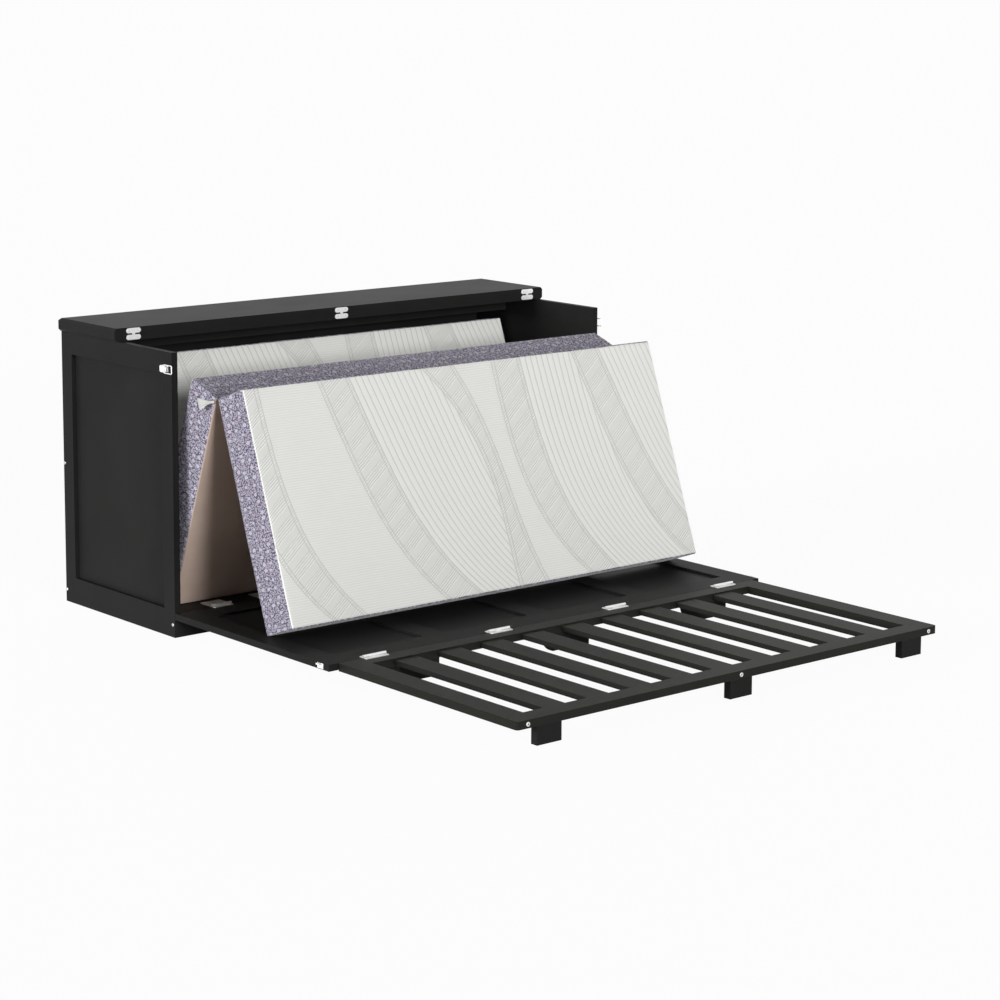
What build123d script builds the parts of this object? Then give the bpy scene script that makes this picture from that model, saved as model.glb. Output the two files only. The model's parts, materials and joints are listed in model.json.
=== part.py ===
from build123d import *

import math
import os

# A cabinet bed, drawn opened: a low cupboard whose lid folds back on itself, whose front
# panel lies down as half of the bed's deck and carries a slatted panel as the other half,
# and whose three-part mattress stands half unfolded in the cupboard.
# Millimetres, +X to the right seen from the foot of the bed, +Y to the wall, +Z up.
# Everything is drawn with y = 0 at the front edge of the cabinet's sides, and is moved
# at the end so that the origin lies on the floor, in the middle of the part's box.

# Cabinet
cabinet_width = 1620.0
cabinet_depth = 594.0
side_height = 826.0
side_thickness = 20.0
side_recess = 13.0
front_stile_width = 54.0
rear_stile_width = 55.0
side_top_rail_height = 66.0
side_bottom_rail_height = 79.0
side_panel_lap = 8.0
back_thickness = 12.0
rail_thickness = 19.0
top_rail_height = 48.0
lid_rail_setback = 150.0

# Deck inside the cabinet
deck_top = 72.0
deck_thickness = 12.0
front_beam_thickness = 20.0
cleat_width = 25.0
cleat_height = 40.0
centre_bearer_width = 30.0

# Lid, two equal boards
lid_thickness = 19.5
lid_front_overhang = 30.0
lid_side_overhang = 10.0
lid_chamfer = 7.0

# Flush hinges in the joint of the lid
lid_hinge_inset = 55.0
lid_plate_length = 50.0
lid_plate_height = 15.0
lid_plate_thickness = 3.0
lid_arm_width = 10.0
lid_arm_thickness = 1.5
lid_knuckle_radius = 1.6
lid_knuckle_notch_clearance = 0.3
lid_pin_radius = 0.8

# Front panel, a frame with four let-in boards
panel_top_clearance = 10.5
panel_thickness = 19.0
panel_root_gap = 1.5
panel_stile_width = 75.0
panel_rail_width = 87.0
panel_mullion_width = 73.0
panel_inset_count = 4
panel_inset_thickness = 6.0
panel_inset_recess = 7.0
panel_inset_lap = 8.0

# Slat panel
slat_panel_shortening = 4.0
slat_panel_thickness = 22.0
slat_panel_side_clearance = 11.5
slat_panel_gap = 1.5
near_rail_width = 55.0
end_rail_width = 60.0
end_corner_rounding = 10.0
side_rail_width = 70.0
slat_count = 9
slat_width = 74.0
slat_thickness = 14.0
slat_drop = 4.0

# Legs and feet of the slat panel
leg_inset = 105.5
leg_width = 81.0
leg_thickness = 23.0
foot_inset = 231.5
foot_width = 137.0
foot_rounding = 40.0

# Surface hinges
hinge_leaf_thickness = 1.8
hinge_barrel_radius = 4.0
hinge_barrel_lift = 0.5
hinge_pin_radius = 2.0
hinge_bore_clearance = 0.05
hinge_knuckle_gap = 0.3
hinge_leaf_setback = 0.4
hinge_corner_rounding = 3.0
cabinet_hinge_length = 68.0
cabinet_hinge_inset = 160.0
cabinet_hinge_inner_offset = 140.0
cabinet_hinge_count = 4
cabinet_hinge_deck_leaf = 60.0
cabinet_hinge_panel_leaf = 15.0
slat_hinge_length = 77.0
slat_hinge_inset = 151.5
slat_hinge_inner_offset = 220.5
slat_hinge_leaf = 17.0

# Bolts
bolt_radius = 2.5
bolt_head_radius = 4.5
end_bolt_head_radius = 6.0
bolt_head_height = 2.0
bolt_hole_clearance = 0.1
bolt_bite = 30.0
side_bolt_low_height = 37.0
side_bolt_high_height = 425.0
end_bolt_bite = 42.0

# Draw latches on the sides
latch_drop = 48.0
latch_base_thickness = 1.6
latch_base_front = 16.0
latch_base_length = 30.0
latch_base_width = 18.0
latch_pivot_depth = 20.0
latch_pivot_standoff = 7.0
latch_boss_radius = 2.2
latch_boss_width = 8.0
latch_pin_radius = 1.2
latch_cheek_radius = 4.0
latch_cheek_thickness = 1.6
latch_cheek_clearance = 0.4
lever_plate_start = 3.5
lever_plate_end = 25.0
lever_plate_width = 19.6
lever_plate_low = 2.4
lever_plate_high = 4.0
lever_tip_rounding = 6.0
bail_pivot_reach = 7.0
bail_boss_radius = 2.6
bail_wire_radius = 1.6
bail_half_width = 11.7
bail_front_reach = 10.5
bail_corner_radius = 4.0
bail_end_inset = 5.0

# Catches on the edges of the front panel
catch_length = 26.0
catch_height = 15.0
catch_thickness = 1.6
catch_lip_width = 14.0
catch_lip_thickness = 2.5
catch_lip_clearance = 0.5
catch_hook_reach = 10.8
catch_hook_length = 4.1

# Mattress, three equal foam parts hinged by their covers
mattress_side_clearance = 20.0
mattress_offset = 8.0
mattress_headroom = 71.7
mattress_back_clearance = 14.1
section_thickness = 137.0
section_lean = 19.7
section_corner_radius = 8.0
section_face_crown = 3.0
section_end_crown = 1.5
section_edge_radius = 10.0
section_edge_steps = 3
section_skin_clearance = 0.2
soft_clearance = 0.3

# One overrun for every cut that runs past a face
overrun = 5.0

half_width = cabinet_width / 2
inner_half_width = half_width - side_thickness
side_panel_thickness = side_thickness - side_recess
back_face = cabinet_depth - back_thickness
deck_underside = deck_top - deck_thickness
lid_board_depth = (cabinet_depth + lid_front_overhang) / 2
lid_joint = cabinet_depth - lid_board_depth
lid_middle = side_height + lid_thickness
lid_half_width = half_width + lid_side_overhang
lid_hinge_offset = half_width - lid_hinge_inset
hinge_axis_lift = hinge_barrel_radius + hinge_barrel_lift
hinge_axis_height = deck_top + hinge_axis_lift
panel_length = side_height - hinge_axis_height - panel_top_clearance
slat_panel_length = panel_length - slat_panel_shortening
panel_end = -panel_length
slat_axis = panel_end - slat_panel_gap / 2
slat_panel_start = panel_end - slat_panel_gap
slat_panel_end = panel_end - slat_panel_length
slat_panel_half_width = inner_half_width - slat_panel_side_clearance
slat_panel_underside = deck_top - slat_panel_thickness
near_rail_edge = slat_panel_start - near_rail_width
end_rail_edge = slat_panel_end + end_rail_width
slat_bay_half_width = slat_panel_half_width - side_rail_width
slat_gap = (2 * slat_bay_half_width - slat_count * slat_width) / (slat_count + 1)
leg_offset = slat_panel_half_width - leg_inset
foot_offset = slat_panel_half_width - foot_inset
cabinet_hinge_outer_offset = half_width - cabinet_hinge_inset
slat_hinge_outer_offset = half_width - slat_hinge_inset
latch_height = side_height - latch_drop
latch_pivot_x = half_width + latch_pivot_standoff
bail_pivot_y = latch_pivot_depth + bail_pivot_reach
foremost = slat_panel_end - bolt_head_height
front_y = -(cabinet_depth + foremost) / 2

mattress_width = 2 * (inner_half_width - mattress_side_clearance)
section_height = side_height - deck_top - soft_clearance - mattress_headroom
lean = math.radians(section_lean)
corner_rise = (
    (section_end_crown + section_skin_clearance + section_corner_radius) * math.cos(lean)
    + (section_face_crown + section_skin_clearance + section_corner_radius) * math.sin(lean)
    - section_corner_radius
)
section_foot_z = deck_top + soft_clearance - corner_rise
section_rise = section_height * math.cos(lean)
section_run = section_height * math.sin(lean)
rear_foot_y = back_face - mattress_back_clearance - section_run
lower_fold = (
    rear_foot_y - section_thickness * math.cos(lean),
    section_foot_z + section_thickness * math.sin(lean),
)
middle_foot_y = lower_fold[0] - section_thickness * math.cos(lean)
upper_fold = (middle_foot_y - section_run, section_foot_z + section_rise)
front_foot_y = upper_fold[0] - section_run


def block(x_range, y_range, z_range):
    """A box between two values on each axis."""
    low = [min(r) for r in (x_range, y_range, z_range)]
    high = [max(r) for r in (x_range, y_range, z_range)]
    size = [h - l for l, h in zip(low, high)]
    middle = [(h + l) / 2 for l, h in zip(low, high)]
    return Pos(*middle) * Box(*size)


def rod_x(radius, x_range, y, z):
    """A round bar along X."""
    x0, x1 = x_range
    return Pos((x0 + x1) / 2, y, z) * Rot(0, 90, 0) * Cylinder(radius, abs(x1 - x0))


def rod_y(radius, x, y_range, z):
    """A round bar along Y."""
    y0, y1 = y_range
    return Pos(x, (y0 + y1) / 2, z) * Rot(90, 0, 0) * Cylinder(radius, abs(y1 - y0))


def rod_z(radius, x, y, z_range):
    """A round bar along Z."""
    z0, z1 = z_range
    return Pos(x, y, (z0 + z1) / 2) * Cylinder(radius, abs(z1 - z0))


def side_x(side, inner, outer):
    """The X range of a piece on one side, from its inner to its outer face."""
    return (side * inner, side * outer)


# Cabinet sides

def side_board(side, lap=side_panel_lap):
    """The let-in board of a side, which sits in rabbets, flush inside."""
    return block(
        side_x(side, inner_half_width, inner_half_width + side_panel_thickness),
        (front_stile_width - lap, cabinet_depth - rear_stile_width + lap),
        (side_bottom_rail_height - lap, side_height - side_top_rail_height + lap),
    )


def bolt_seats(side):
    """Where the bolts of one side are: (y, z)."""
    back = cabinet_depth - back_thickness / 2
    return [
        (back, side_bolt_high_height),
        (back, side_bolt_low_height),
        (front_beam_thickness / 2, side_bolt_low_height),
    ]


def side_bolt(side, y, z, clearance=0):
    """A side bolt, or with a clearance the hole for it."""
    inner = inner_half_width - bolt_bite
    bolt = rod_x(bolt_radius + clearance, side_x(side, inner, half_width), y, z)
    if not clearance:
        head = side_x(side, half_width, half_width + bolt_head_height)
        bolt += rod_x(bolt_head_radius, head, y, z)
    return bolt


def side_bolt_holes(side):
    return [side_bolt(side, y, z, bolt_hole_clearance) for y, z in bolt_seats(side)]


def side_frame(side):
    """The two stiles and two rails of a side."""
    x = side_x(side, inner_half_width, half_width)
    rails_y = (front_stile_width, cabinet_depth - rear_stile_width)
    pieces = {
        "front_stile": block(x, (0, front_stile_width), (0, side_height)),
        "rear_stile": block(x, (rails_y[1], cabinet_depth), (0, side_height)),
        "top_rail": block(x, rails_y, (side_height - side_top_rail_height, side_height)),
        "bottom_rail": block(x, rails_y, (0, side_bottom_rail_height)),
    }
    board = side_board(side)
    pieces = {name: piece - board for name, piece in pieces.items()}
    for hole in side_bolt_holes(side):
        pieces["front_stile"] -= hole
        pieces["rear_stile"] -= hole
    return pieces


# Back, base and deck

def back_panel():
    panel = block((-inner_half_width, inner_half_width), (back_face, cabinet_depth), (0, side_height))
    for side in (-1, 1):
        for hole in side_bolt_holes(side):
            panel -= hole
    return panel


def cross_rail(front, thickness):
    """A rail between the sides, under the lid."""
    return block(
        (-inner_half_width, inner_half_width),
        (front, front + thickness),
        (side_height - top_rail_height, side_height),
    )


def base_front_beam():
    beam = block((-inner_half_width, inner_half_width), (0, front_beam_thickness), (0, deck_top))
    for side in (-1, 1):
        for hole in side_bolt_holes(side):
            beam -= hole
    return beam


def deck_board():
    return block(
        (-inner_half_width, inner_half_width),
        (front_beam_thickness, back_face),
        (deck_underside, deck_top),
    )


def deck_bearers():
    """A cleat on each side and a bearer to the floor in the middle, under the deck."""
    y = (front_beam_thickness, back_face)
    cleats = [
        block(
            side_x(side, inner_half_width - cleat_width, inner_half_width),
            y,
            (deck_underside - cleat_height, deck_underside),
        )
        for side in (-1, 1)
    ]
    half = centre_bearer_width / 2
    return cleats + [block((-half, half), y, (0, deck_underside))]


# Lid

def lid_hinge_positions():
    return (-lid_hinge_offset, 0, lid_hinge_offset)


def lid_plate(x, thickness=lid_plate_thickness):
    """The long round-ended plate of a lid hinge, let into the lower board's edge."""
    z = lid_middle - lid_thickness / 2
    flat = (lid_plate_length - lid_plate_height) / 2
    y = (lid_joint, lid_joint + thickness)
    radius = lid_plate_height / 2
    plate = block((x - flat, x + flat), y, (z - radius, z + radius))
    for end in (-flat, flat):
        plate += rod_y(radius, x + end, y, z)
    return plate


def lid_arm(x, half):
    """The arm from a hinge plate up to the joint of the two boards."""
    return block(
        (x - half, x + half),
        (lid_joint, lid_joint + lid_arm_thickness),
        (lid_middle - lid_thickness / 2, lid_middle),
    )


def lid_hinge_cut(x):
    """What a lid hinge takes out of the lower board."""
    half = lid_arm_width / 2
    notch = lid_knuckle_radius + lid_knuckle_notch_clearance
    return lid_plate(x) + lid_arm(x, half) + rod_x(notch, (x - half, x + half), lid_joint, lid_middle)


def lid_knuckle(x, x_range):
    """One knuckle of a lid hinge, bored for its pin."""
    knuckle = rod_x(lid_knuckle_radius, x_range, lid_joint, lid_middle)
    root = block(
        x_range,
        (lid_joint, lid_joint + lid_arm_thickness),
        (lid_middle - lid_thickness / 2, lid_middle),
    )
    return knuckle + root


def lid_pin_bore(x):
    half = lid_arm_width / 2
    radius = lid_pin_radius + hinge_bore_clearance
    return rod_x(radius, (x - half - overrun, x + half + overrun), lid_joint, lid_middle)


def lid_hinge_half(x, outer):
    """A plate with its knuckles: two outer ones, or the middle one."""
    half = lid_arm_width / 2
    third = lid_arm_width / 6
    gap = hinge_knuckle_gap / 2
    if outer:
        spans = [(x - half, x - third - gap), (x + third + gap, x + half)]
    else:
        spans = [(x - third + gap, x + third - gap)]
    clear = lid_knuckle_radius + lid_knuckle_notch_clearance
    low = lid_plate(x) + lid_arm(x, half)
    low -= rod_x(clear, (x - half - overrun, x + half + overrun), lid_joint, lid_middle)
    for span in spans:
        low += lid_knuckle(x, span)
    return low - lid_pin_bore(x)


def turned_over(shape):
    """The same piece on the upper board: mirrored in the plane where the boards meet."""
    return mirror(shape, Plane.XY.offset(lid_middle))


def lid_board():
    board = block(
        (-lid_half_width, lid_half_width),
        (lid_joint, cabinet_depth),
        (side_height, lid_middle),
    )
    low_edges = board.edges().filter_by(Axis.Y).group_by(Axis.Z)[0]
    return chamfer(low_edges, lid_chamfer)


def lid_rear_board():
    board = lid_board()
    for x in lid_hinge_positions():
        board -= lid_hinge_cut(x)
    return board


def lid_front_board():
    """The front half of the lid, which lies upside down on the rear half here."""
    board = lid_board()
    front_edge = board.edges().filter_by(Axis.X).group_by(Axis.Z)[0].sort_by(Axis.Y)[-1]
    board = chamfer(front_edge, lid_chamfer)
    for x in lid_hinge_positions():
        board -= lid_hinge_cut(x)
    return turned_over(board)


def lid_pins():
    half = lid_arm_width / 2
    return [rod_x(lid_pin_radius, (x - half, x + half), lid_joint, lid_middle) for x in lid_hinge_positions()]


# Front panel

panel_bay_half_width = half_width - panel_stile_width
panel_inset_width = (
    2 * panel_bay_half_width - (panel_inset_count - 1) * panel_mullion_width
) / panel_inset_count
panel_inset_pitch = panel_inset_width + panel_mullion_width


def panel_z():
    return (deck_top - panel_thickness, deck_top)


def panel_bay_y():
    return (panel_end + panel_rail_width, -panel_root_gap - panel_rail_width)


def inset_start(index):
    return -panel_bay_half_width + index * panel_inset_pitch


def front_panel_insets():
    y0, y1 = panel_bay_y()
    top = deck_top - panel_inset_recess
    lap = panel_inset_lap
    return [
        block(
            (inset_start(i) - lap, inset_start(i) + panel_inset_width + lap),
            (y0 - lap, y1 + lap),
            (top - panel_inset_thickness, top),
        )
        for i in range(panel_inset_count)
    ]


def grooved(piece):
    """A frame piece of the front panel with the grooves that hold the let-in boards."""
    for inset in front_panel_insets():
        piece -= inset
    return piece


def front_panel_stile(side):
    x = side_x(side, panel_bay_half_width, half_width)
    return grooved(block(x, (panel_end, -panel_root_gap), panel_z()))


def front_panel_rail(y_range):
    return grooved(block((-panel_bay_half_width, panel_bay_half_width), y_range, panel_z()))


def front_panel_mullions():
    starts = [inset_start(i) - panel_mullion_width for i in range(1, panel_inset_count)]
    return [grooved(block((x, x + panel_mullion_width), panel_bay_y(), panel_z())) for x in starts]


# Surface hinges, all with their axis along X at the same height above the deck

def knuckle_spans(x, length, outer):
    """The X ranges of a leaf's knuckles: the two outer thirds, or the middle one."""
    half = length / 2
    third = length / 6
    gap = hinge_knuckle_gap / 2
    if outer:
        return [(x - half, x - third - gap), (x + third + gap, x + half)]
    return [(x - third + gap, x + third - gap)]


def hinge_leaf(x, axis_y, length, reach, toward, outer):
    """A surface hinge's leaf with its knuckles. toward is +1 or -1 along Y."""
    z = (deck_top, deck_top + hinge_leaf_thickness)
    near = axis_y + toward * (hinge_barrel_radius + hinge_leaf_setback)
    leaf = block((x - length / 2, x + length / 2), (near, axis_y + toward * reach), z)
    corners = leaf.edges().filter_by(Axis.Z).group_by(Axis.Y)[-1 if toward > 0 else 0]
    leaf = fillet(corners, hinge_corner_rounding)
    for span in knuckle_spans(x, length, outer):
        leaf += block(span, (axis_y, near), z)
        leaf += rod_x(hinge_barrel_radius, span, axis_y, hinge_axis_height)
    bore = hinge_pin_radius + hinge_bore_clearance
    past = length / 2 + overrun
    return leaf - rod_x(bore, (x - past, x + past), axis_y, hinge_axis_height)


def cabinet_hinge_positions():
    pitch = (cabinet_hinge_outer_offset - cabinet_hinge_inner_offset) / (cabinet_hinge_count - 1)
    offsets = [cabinet_hinge_outer_offset - i * pitch for i in range(cabinet_hinge_count)]
    return [-x for x in offsets] + offsets[::-1]


def slat_hinge_positions():
    outer, inner = slat_hinge_outer_offset, slat_hinge_inner_offset
    return (-outer, -inner, inner, outer)


def cabinet_hinge_leaves(reach, toward, outer):
    return [
        hinge_leaf(x, 0, cabinet_hinge_length, reach, toward, outer)
        for x in cabinet_hinge_positions()
    ]


def slat_hinge_leaves(toward, outer):
    return [
        hinge_leaf(x, slat_axis, slat_hinge_length, slat_hinge_leaf, toward, outer)
        for x in slat_hinge_positions()
    ]


def hinge_pins():
    pins = []
    for x in cabinet_hinge_positions():
        half = cabinet_hinge_length / 2
        pins.append(rod_x(hinge_pin_radius, (x - half, x + half), 0, hinge_axis_height))
    for x in slat_hinge_positions():
        half = slat_hinge_length / 2
        pins.append(rod_x(hinge_pin_radius, (x - half, x + half), slat_axis, hinge_axis_height))
    return pins


# Slat panel

def end_bolt_positions():
    side = slat_panel_half_width - side_rail_width / 2
    return (-side, 0, side)


def end_bolt(x, clearance=0):
    z = deck_top - slat_panel_thickness / 2
    bolt = rod_y(bolt_radius + clearance, x, (slat_panel_end, slat_panel_end + end_bolt_bite), z)
    if not clearance:
        bolt += rod_y(end_bolt_head_radius, x, (foremost, slat_panel_end), z)
    return bolt


def slat_frame_rail(y_range):
    rail = block(
        (-slat_panel_half_width, slat_panel_half_width), y_range, (slat_panel_underside, deck_top)
    )
    for x in end_bolt_positions():
        rail -= end_bolt(x, bolt_hole_clearance)
    return rail


def slat_end_rail():
    """The rail at the foot of the bed, with its two outer corners rounded."""
    rail = slat_frame_rail((slat_panel_end, end_rail_edge))
    corners = rail.edges().filter_by(Axis.Z).group_by(Axis.Y)[0]
    return fillet(corners, end_corner_rounding)


def slat_side_rail(side):
    x = side_x(side, slat_bay_half_width, slat_panel_half_width)
    return block(x, (end_rail_edge, near_rail_edge), (slat_panel_underside, deck_top))


def slat(index):
    start = -slat_bay_half_width + slat_gap + index * (slat_width + slat_gap)
    top = deck_top - slat_drop
    return block(
        (start, start + slat_width), (end_rail_edge, near_rail_edge), (top - slat_thickness, top)
    )


def end_legs():
    half = leg_width / 2
    y = (slat_panel_end, slat_panel_end + leg_thickness)
    return [
        block((x - half, x + half), y, (0, slat_panel_underside))
        for x in (-leg_offset, 0, leg_offset)
    ]


def middle_feet():
    """Blocks under the near rail, rounded where they face the front panel."""
    half = foot_width / 2
    feet = []
    for x in (-foot_offset, 0, foot_offset):
        foot = block(
            (x - half, x + half), (near_rail_edge, slat_panel_start), (0, slat_panel_underside)
        )
        heel = foot.edges().filter_by(Axis.X).group_by(Axis.Z)[0].sort_by(Axis.Y)[-1]
        feet.append(fillet(heel, foot_rounding))
    return feet


# Draw latches

def outward(side, near, far):
    """The X range between two distances out from a side's outer face."""
    return (side * (half_width + near), side * (half_width + far))


def latch_base(side):
    half = latch_base_width / 2
    y = (latch_base_front, latch_base_front + latch_base_length)
    plate = block(
        outward(side, 0, latch_base_thickness), y, (latch_height - half, latch_height + half)
    )
    half = latch_boss_width / 2
    z = (latch_height - half, latch_height + half)
    boss_y = (latch_pivot_depth - latch_boss_radius, latch_pivot_depth + latch_boss_radius)
    boss = block(outward(side, 0, latch_pivot_standoff), boss_y, z)
    boss += rod_z(latch_boss_radius, side * latch_pivot_x, latch_pivot_depth, z)
    bore = latch_pin_radius + hinge_bore_clearance
    return plate + boss - rod_z(bore, side * latch_pivot_x, latch_pivot_depth, z)


def latch_lever(side):
    """The lever: two cheeks on a pin, a plate over them and a tube for the wire bail."""
    x = side * latch_pivot_x
    inner = latch_boss_width / 2 + latch_cheek_clearance
    outer = inner + latch_cheek_thickness
    plate_x = (
        side * (latch_pivot_x + lever_plate_low),
        side * (latch_pivot_x + lever_plate_high),
    )
    half = lever_plate_width / 2
    plate = block(
        plate_x,
        (latch_pivot_depth + lever_plate_start, latch_pivot_depth + lever_plate_end),
        (latch_height - half, latch_height + half),
    )
    tip = plate.edges().filter_by(Axis.X).group_by(Axis.Y)[-1]
    lever = fillet(tip, lever_tip_rounding)
    cheek_reach = (latch_pivot_depth, bail_pivot_y)
    for sign in (-1, 1):
        z = (latch_height + sign * inner, latch_height + sign * outer)
        low_x = side * (latch_pivot_x - bail_boss_radius)
        lever += rod_z(latch_cheek_radius, x, latch_pivot_depth, z)
        lever += block((low_x, side * (latch_pivot_x + lever_plate_low)), cheek_reach, z)
    lever += rod_z(latch_pin_radius, x, latch_pivot_depth, (latch_height - outer, latch_height + outer))
    z = (latch_height - half, latch_height + half)
    lever += rod_z(bail_boss_radius, x, bail_pivot_y, z)
    bore = bail_wire_radius + hinge_bore_clearance
    past = (latch_height - half - overrun, latch_height + half + overrun)
    return lever - rod_z(bore, x, bail_pivot_y, past)


def latch_bail(side):
    """The wire loop, whose two ends turn in the lever's tube."""
    x = side * latch_pivot_x
    points = [
        (x, bail_pivot_y, latch_height + bail_end_inset),
        (x, bail_pivot_y, latch_height + bail_half_width),
        (x, -bail_front_reach, latch_height + bail_half_width),
        (x, -bail_front_reach, latch_height - bail_half_width),
        (x, bail_pivot_y, latch_height - bail_half_width),
        (x, bail_pivot_y, latch_height - bail_end_inset),
    ]
    bend = bail_wire_radius + hinge_bore_clearance
    radii = [bend, bail_corner_radius, bail_corner_radius, bend]
    path = FilletPolyline(*points, radius=radii)
    section = Plane(origin=points[0], z_dir=(0, 0, 1)) * Circle(bail_wire_radius)
    return sweep(section, path=path)


def catch_plate(side):
    """The catch on an edge of the front panel, with the lip that the bail holds."""
    y = hinge_axis_height - latch_height
    half = catch_length / 2
    plate = block(
        outward(side, 0, catch_thickness),
        (y - half, y + half),
        (deck_top - catch_height - catch_thickness, deck_top - catch_thickness),
    )
    half = catch_lip_width / 2
    bar_top = hinge_axis_height - bail_front_reach + bail_wire_radius
    lip_low = bar_top + catch_lip_clearance
    lip_y = (y - half, y + half)
    lip = block(outward(side, 0, catch_hook_reach), lip_y, (lip_low, lip_low + catch_lip_thickness))
    hook = block(
        outward(side, catch_hook_reach - catch_thickness, catch_hook_reach),
        lip_y,
        (lip_low + catch_lip_thickness - catch_hook_length, lip_low + catch_lip_thickness),
    )
    return plate + lip + hook


# Mattress

def section_outline(x, inset):
    """A mattress section's crowned outline at one place along X, drawn in by inset."""
    half_t = section_thickness / 2 - section_skin_clearance - inset
    half_h = section_height / 2 - section_skin_clearance - inset
    radius = section_corner_radius - inset / 2
    flat_t = half_t - section_face_crown - radius
    flat_h = half_h - section_end_crown - radius
    diagonal = radius * math.sqrt(2) / 2
    points = []
    for turn in ((1, 1), (-1, 1), (-1, -1), (1, -1)):
        first = (turn[0] * (flat_t + radius), turn[1] * flat_h)
        middle = (turn[0] * (flat_t + diagonal), turn[1] * (flat_h + diagonal))
        last = (turn[0] * flat_t, turn[1] * (flat_h + radius))
        corner = [first, middle, last]
        points.append(corner if turn[0] * turn[1] > 0 else corner[::-1])
    crowns = [(0, half_h), (-half_t, 0), (0, -half_h), (half_t, 0)]
    edges = []
    for i, corner in enumerate(points):
        following = points[(i + 1) % len(points)]
        edges.append(Edge.make_three_point_arc(*[Vector(x, *p) for p in corner]))
        side = (corner[-1], crowns[i], following[0])
        edges.append(Edge.make_three_point_arc(*[Vector(x, *p) for p in side]))
    return Wire(edges)


def mattress_section(foot_y, white_side, turn):
    """A section standing on its cover's lower edge and leaning by turn degrees about it.

    white_side is -1 where the white face looks to the foot of the bed, +1 where it looks to
    the wall.
    """
    half = mattress_width / 2
    step = 90 / section_edge_steps
    inset = [
        section_edge_radius * (1 - math.sin(math.radians(step * i)))
        for i in range(section_edge_steps + 1)
    ]
    reach = [
        half - section_edge_radius * (1 - math.cos(math.radians(step * i)))
        for i in range(section_edge_steps, -1, -1)
    ][::-1]
    stations = [(-r, d) for r, d in zip(reach, inset)]
    stations += [(r, d) for r, d in zip(reach[::-1], inset[::-1])]
    solid = Solid.make_loft([section_outline(x, d) for x, d in stations], True)
    middle = Pos(mattress_offset, white_side * section_thickness / 2, section_height / 2)
    return Pos(0, foot_y, section_foot_z) * Rot(turn, 0, 0) * middle * solid


def fold_rolls():
    """The rolled fabric of the cover along each of its two folds."""
    across = section_face_crown + section_skin_clearance + section_corner_radius
    along = section_end_crown + section_skin_clearance + section_corner_radius
    radius = math.hypot(across, along) - section_corner_radius - soft_clearance
    half = mattress_width / 2 - section_edge_radius
    x = (mattress_offset - half, mattress_offset + half)
    return [rod_x(radius, x, *fold) for fold in (lower_fold, upper_fold)]


def all_nodes():
    """Every node of the part: its name and its solids."""
    nodes = {}
    for side, name in ((-1, "left"), (1, "right")):
        for piece, shape in side_frame(side).items():
            nodes[f"{name}_side_{piece}"] = [shape]
        nodes[f"{name}_side_panel"] = [side_board(side)]
    nodes["side_bolts"] = [side_bolt(s, y, z) for s in (-1, 1) for y, z in bolt_seats(s)]
    nodes["back_panel"] = [back_panel()]
    nodes["back_top_rail"] = [cross_rail(back_face - rail_thickness, rail_thickness)]
    nodes["lid_cross_rail"] = [cross_rail(lid_joint + lid_rail_setback, rail_thickness)]
    nodes["base_front_beam"] = [base_front_beam()]
    nodes["deck_board"] = [deck_board()]
    nodes["deck_bearers"] = deck_bearers()

    nodes["lid_rear_board"] = [lid_rear_board()]
    nodes["lid_front_board"] = [lid_front_board()]
    places = lid_hinge_positions()
    nodes["lid_hinge_rear_plates"] = [lid_hinge_half(x, True) for x in places]
    nodes["lid_hinge_front_plates"] = [turned_over(lid_hinge_half(x, False)) for x in places]
    nodes["lid_hinge_pins"] = lid_pins()

    nodes["front_panel_left_stile"] = [front_panel_stile(-1)]
    nodes["front_panel_right_stile"] = [front_panel_stile(1)]
    nodes["front_panel_bottom_rail"] = [front_panel_rail((panel_bay_y()[1], -panel_root_gap))]
    nodes["front_panel_top_rail"] = [front_panel_rail((panel_end, panel_bay_y()[0]))]
    nodes["front_panel_mullions"] = front_panel_mullions()
    nodes["front_panel_insets"] = front_panel_insets()
    nodes["latch_catches"] = [catch_plate(-1), catch_plate(1)]

    nodes["cabinet_hinge_deck_leaves"] = cabinet_hinge_leaves(cabinet_hinge_deck_leaf, 1, True)
    nodes["cabinet_hinge_panel_leaves"] = cabinet_hinge_leaves(cabinet_hinge_panel_leaf, -1, False)
    nodes["slat_hinge_panel_leaves"] = slat_hinge_leaves(1, True)
    nodes["slat_hinge_slat_leaves"] = slat_hinge_leaves(-1, False)
    nodes["hinge_pins"] = hinge_pins()

    nodes["slat_frame_near_rail"] = [slat_frame_rail((near_rail_edge, slat_panel_start))]
    nodes["slat_frame_end_rail"] = [slat_end_rail()]
    nodes["slat_frame_left_rail"] = [slat_side_rail(-1)]
    nodes["slat_frame_right_rail"] = [slat_side_rail(1)]
    for i in range(slat_count):
        nodes[f"slat_{i + 1}"] = [slat(i)]
    nodes["end_legs"] = end_legs()
    nodes["middle_feet"] = middle_feet()
    nodes["end_rail_bolts"] = [end_bolt(x) for x in end_bolt_positions()]

    nodes["latch_bases"] = [latch_base(-1), latch_base(1)]
    for side, name in ((-1, "left"), (1, "right")):
        nodes[f"{name}_latch_lever"] = [latch_lever(side)]
        nodes[f"{name}_latch_bail"] = [latch_bail(side)]

    nodes["mattress_rear_section"] = [mattress_section(rear_foot_y, -1, -section_lean)]
    nodes["mattress_middle_section"] = [mattress_section(middle_foot_y, 1, section_lean)]
    nodes["mattress_front_section"] = [mattress_section(front_foot_y, -1, -section_lean)]
    nodes["mattress_fold_rolls"] = fold_rolls()
    return nodes


def write_node(name, shapes):
    """One STEP file per node, moved to the part's own origin."""
    place = Location((0, front_y, 0))
    solids = [solid.moved(place) for shape in shapes for solid in shape.solids()]
    whole = solids[0] if len(solids) == 1 else Compound(children=solids)
    export_step(whole, f"parts/{name}.step")


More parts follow.
